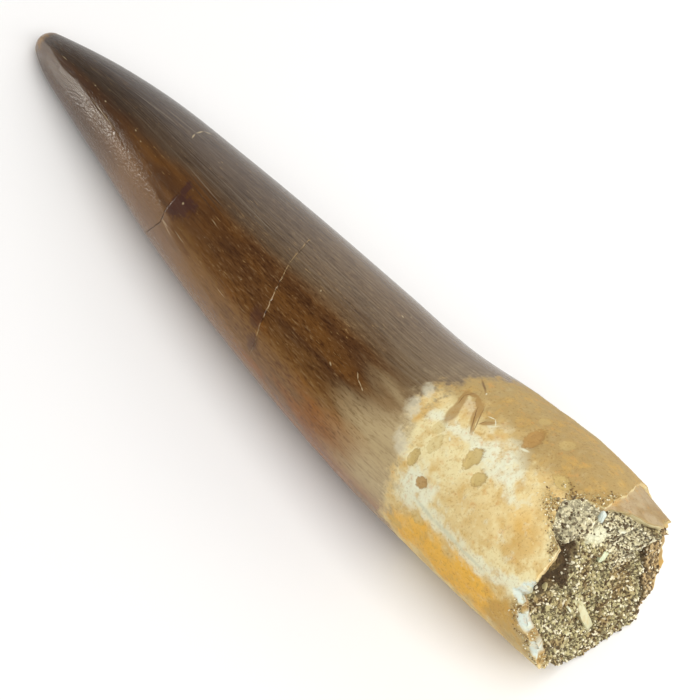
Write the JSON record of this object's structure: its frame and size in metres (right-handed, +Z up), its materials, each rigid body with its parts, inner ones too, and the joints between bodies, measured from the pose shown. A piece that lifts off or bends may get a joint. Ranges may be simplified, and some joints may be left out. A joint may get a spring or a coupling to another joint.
{
  "type": "fossil plesiosaur tooth",
  "caption": "Slender curved fossil reptile tooth lying on its side, with a smooth brown crown, a cream root broken open at the end and sandy rock in the hollow.",
  "frame": {"origin": "middle of the tooth's bounding box, on the surface that it rests on", "axes": "+Z up, +X along the tooth from the tip to the broken root, +Y to the side that the tooth's hollow curve faces"},
  "size_m": [0.0759, 0.0162, 0.0147],
  "materials": {
    "tooth": "glossy brown fossil enamel with fine lengthwise striae; matt cream to ochre root",
    "rock": "rough, dull sandy phosphate rock"
  },
  "bodies": {
    "root": {"tooth": "tooth", "matrix_plug": "rock"}
  },
  "joints": []
}
